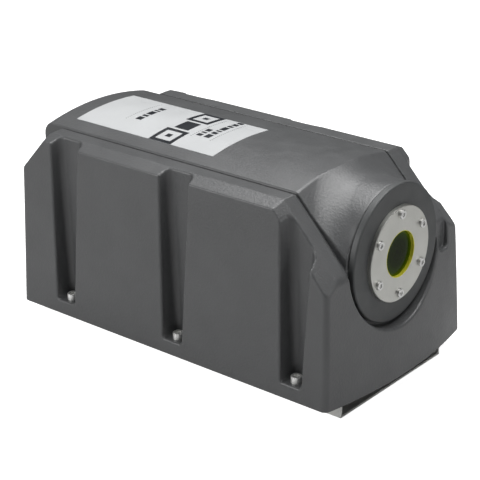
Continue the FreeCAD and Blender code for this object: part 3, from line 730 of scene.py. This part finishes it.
def dress_frame():
    sheet = brushed_metal("sheet_metal", (0.86, 0.86, 0.84), 0.6, "X")
    give(sheet, "base_tray")
    folded = brushed_metal("bracket_metal", (0.52, 0.53, 0.53), 0.38, "Y")
    give(folded, "gland_panel", "reflector_bracket", "lamp_bracket", "filter_holder", "wheel_bracket",
         "bulkhead", "gear_shelf", "capacitor_clip")
    give(port_metal(), "port_ring")
    give(turned_metal("screw_steel", (0.92, 0.92, 0.90), 0.5), "hood_screws")
    give(turned_metal("small_screw_steel", (0.70, 0.70, 0.69), 0.42), "port_ring_screws")
    give(turned_metal("sleeve_metal", (0.5, 0.5, 0.5), 0.35, (0.0, PORT_Z * MM)), "port_sleeve")
    give(turned_metal("shaft_steel", (0.5, 0.5, 0.5), 0.25, (0.0, 0.089)), "wheel_hub", "motor_shaft")
    give(brushed_metal("insert_brass", (0.55, 0.40, 0.16), 0.3, "Z"), "rail_nuts", "board_standoffs")
    give(painted("disc_paint", (0.060, 0.063, 0.064), 0.5), "port_disc")
    give(painted("motor_black", (0.03, 0.03, 0.033), 0.4), "wheel_motor")
    give(painted("wheel_black", (0.035, 0.035, 0.037), 0.35), "colour_wheel")
    give(plastic("gland_plastic", (0.03, 0.031, 0.033), 0.45), "mains_gland", "data_gland", "gland_nuts",
         "thermal_cutout")
    give(plastic("fan_plastic", (0.022, 0.022, 0.024), 0.42), "fan_frame", "fan_rotor")
    give(plastic("ceramic", (0.68, 0.64, 0.56), 0.35), "lamp_holder")
    give(plastic("terminal_plastic", (0.5, 0.5, 0.46), 0.45), "terminal_block")
    give(plastic("component_plastic", (0.05, 0.055, 0.075), 0.35), "board_parts")
    give(rubber("seal_rubber", (0.02, 0.02, 0.02)), "glass_seal", "hood_grommets")
    give(brushed_metal("guard_wire", (0.6, 0.6, 0.6), 0.2, "X"), "fan_guard")
    give(brushed_metal("can_metal", (0.6, 0.61, 0.62), 0.3, "Z"), "ignitor", "capacitor")
    give(turned_metal("reflector_mirror", (0.86, 0.86, 0.87), 0.1, (0.0, PORT_Z * MM), 0.02), "reflector")
    give(clear("quartz", (0.95, 0.96, 0.97)), "lamp")
    give(clear("heat_glass", (0.80, 0.92, 0.86)), "heat_filter")
    give(filter_glass(), "colour_filters")
    give(coated_glass(), "port_glass")
    give(copper(), "ballast_winding")
    give(laminations(), "ballast_core")
    give(circuit_board(), "control_board")


# ---- stage -----------------------------------------------------------------------------
def make_floor():
    mesh = bpy.data.meshes.new("floor")
    bm = bmesh.new()
    bmesh.ops.create_grid(bm, x_segments=4, y_segments=4, size=FLOOR_HALF)
    bm.to_mesh(mesh)
    bm.free()
    floor = bpy.data.objects.new("floor", mesh)
    bpy.context.scene.collection.objects.link(floor)
    n = Nodes("floor_paper")
    n.set(Roughness=0.9)
    n.colour(n.ramp(n.noise(3.0, 3.0), (0.3, (0.56, 0.56, 0.56)), (0.7, (0.60, 0.60, 0.60))))
    # looks white to the camera, yet bounces little light up into the flutes
    path = n.tree.nodes.new("ShaderNodeLightPath")
    n.shader.inputs["Emission Color"].default_value = (1.0, 1.0, 1.0, 1.0)
    glow = n.math("MULTIPLY", path.outputs["Is Camera Ray"], FLOOR_GLOW)
    n.link(glow, n.shader.inputs["Emission Strength"])
    mesh.materials.append(n.material)


def area_light(name, place, target, size, power):
    data = bpy.data.lights.new(name, "AREA")
    data.shape = "RECTANGLE"
    data.size = size[0]
    data.size_y = size[1]
    data.energy = power
    lamp = bpy.data.objects.new(name, data)
    lamp.location = place
    aim = Vector(target) - Vector(place)
    lamp.rotation_mode = "QUATERNION"
    lamp.rotation_quaternion = aim.to_track_quat("-Z", "Y")
    bpy.context.scene.collection.objects.link(lamp)


def make_lights():
    world = bpy.data.worlds.new("studio")
    world.use_nodes = True
    back = world.node_tree.nodes["Background"]
    back.inputs["Color"].default_value = (1.0, 1.0, 1.0, 1.0)
    # white behind the part, yet little light from it
    path = world.node_tree.nodes.new("ShaderNodeLightPath")
    level = world.node_tree.nodes.new("ShaderNodeMapRange")
    level.inputs["To Min"].default_value = WORLD_FILL
    level.inputs["To Max"].default_value = WORLD_SEEN
    world.node_tree.links.new(path.outputs["Is Camera Ray"], level.inputs["Value"])
    world.node_tree.links.new(level.outputs["Result"], back.inputs["Strength"])
    bpy.context.scene.world = world
    area_light("overhead", (0.0, 0.3, 1.5), LIGHT_TARGET, (1.6, 1.2), 34.0)
    area_light("left_front", (-0.9, -1.7, 0.7), LIGHT_TARGET, (1.0, 0.9), 18.5)
    area_light("right_front", (1.9, 0.1, 0.7), LIGHT_TARGET, (0.8, 0.8), 6.0)


def make_camera():
    place = Vector(CAMERA_PLACE)
    look = Vector(CAMERA_LOOK).normalized()
    right = look.cross(Vector((0, 0, 1))).normalized()
    up = right.cross(look)
    right = right * math.cos(CAMERA_ROLL) + up * math.sin(CAMERA_ROLL)
    up = right.cross(look)
    data = bpy.data.cameras.new("camera")
    data.lens = CAMERA_LENS
    data.sensor_width = SENSOR_WIDTH
    data.clip_start = 0.05
    camera = bpy.data.objects.new("camera", data)
    turn = Matrix((right, up, -look)).transposed().to_4x4()
    camera.matrix_world = Matrix.Translation(place) @ turn
    bpy.context.scene.collection.objects.link(camera)
    bpy.context.scene.camera = camera
    bpy.context.scene.view_settings.view_transform = "Standard"


dress_frame()
skin = hood_skin()
skin.data.materials.append(plastic("hood_plastic", (0.084, 0.086, 0.088), 0.38, 620.0, 0.0005, 0.07, 0.6))
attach(skin, "hood_assembly")
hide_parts("hood")
label = label_skin()
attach(label, "hood_assembly")
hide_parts("label_plate")
make_floor()
make_lights()
make_camera()
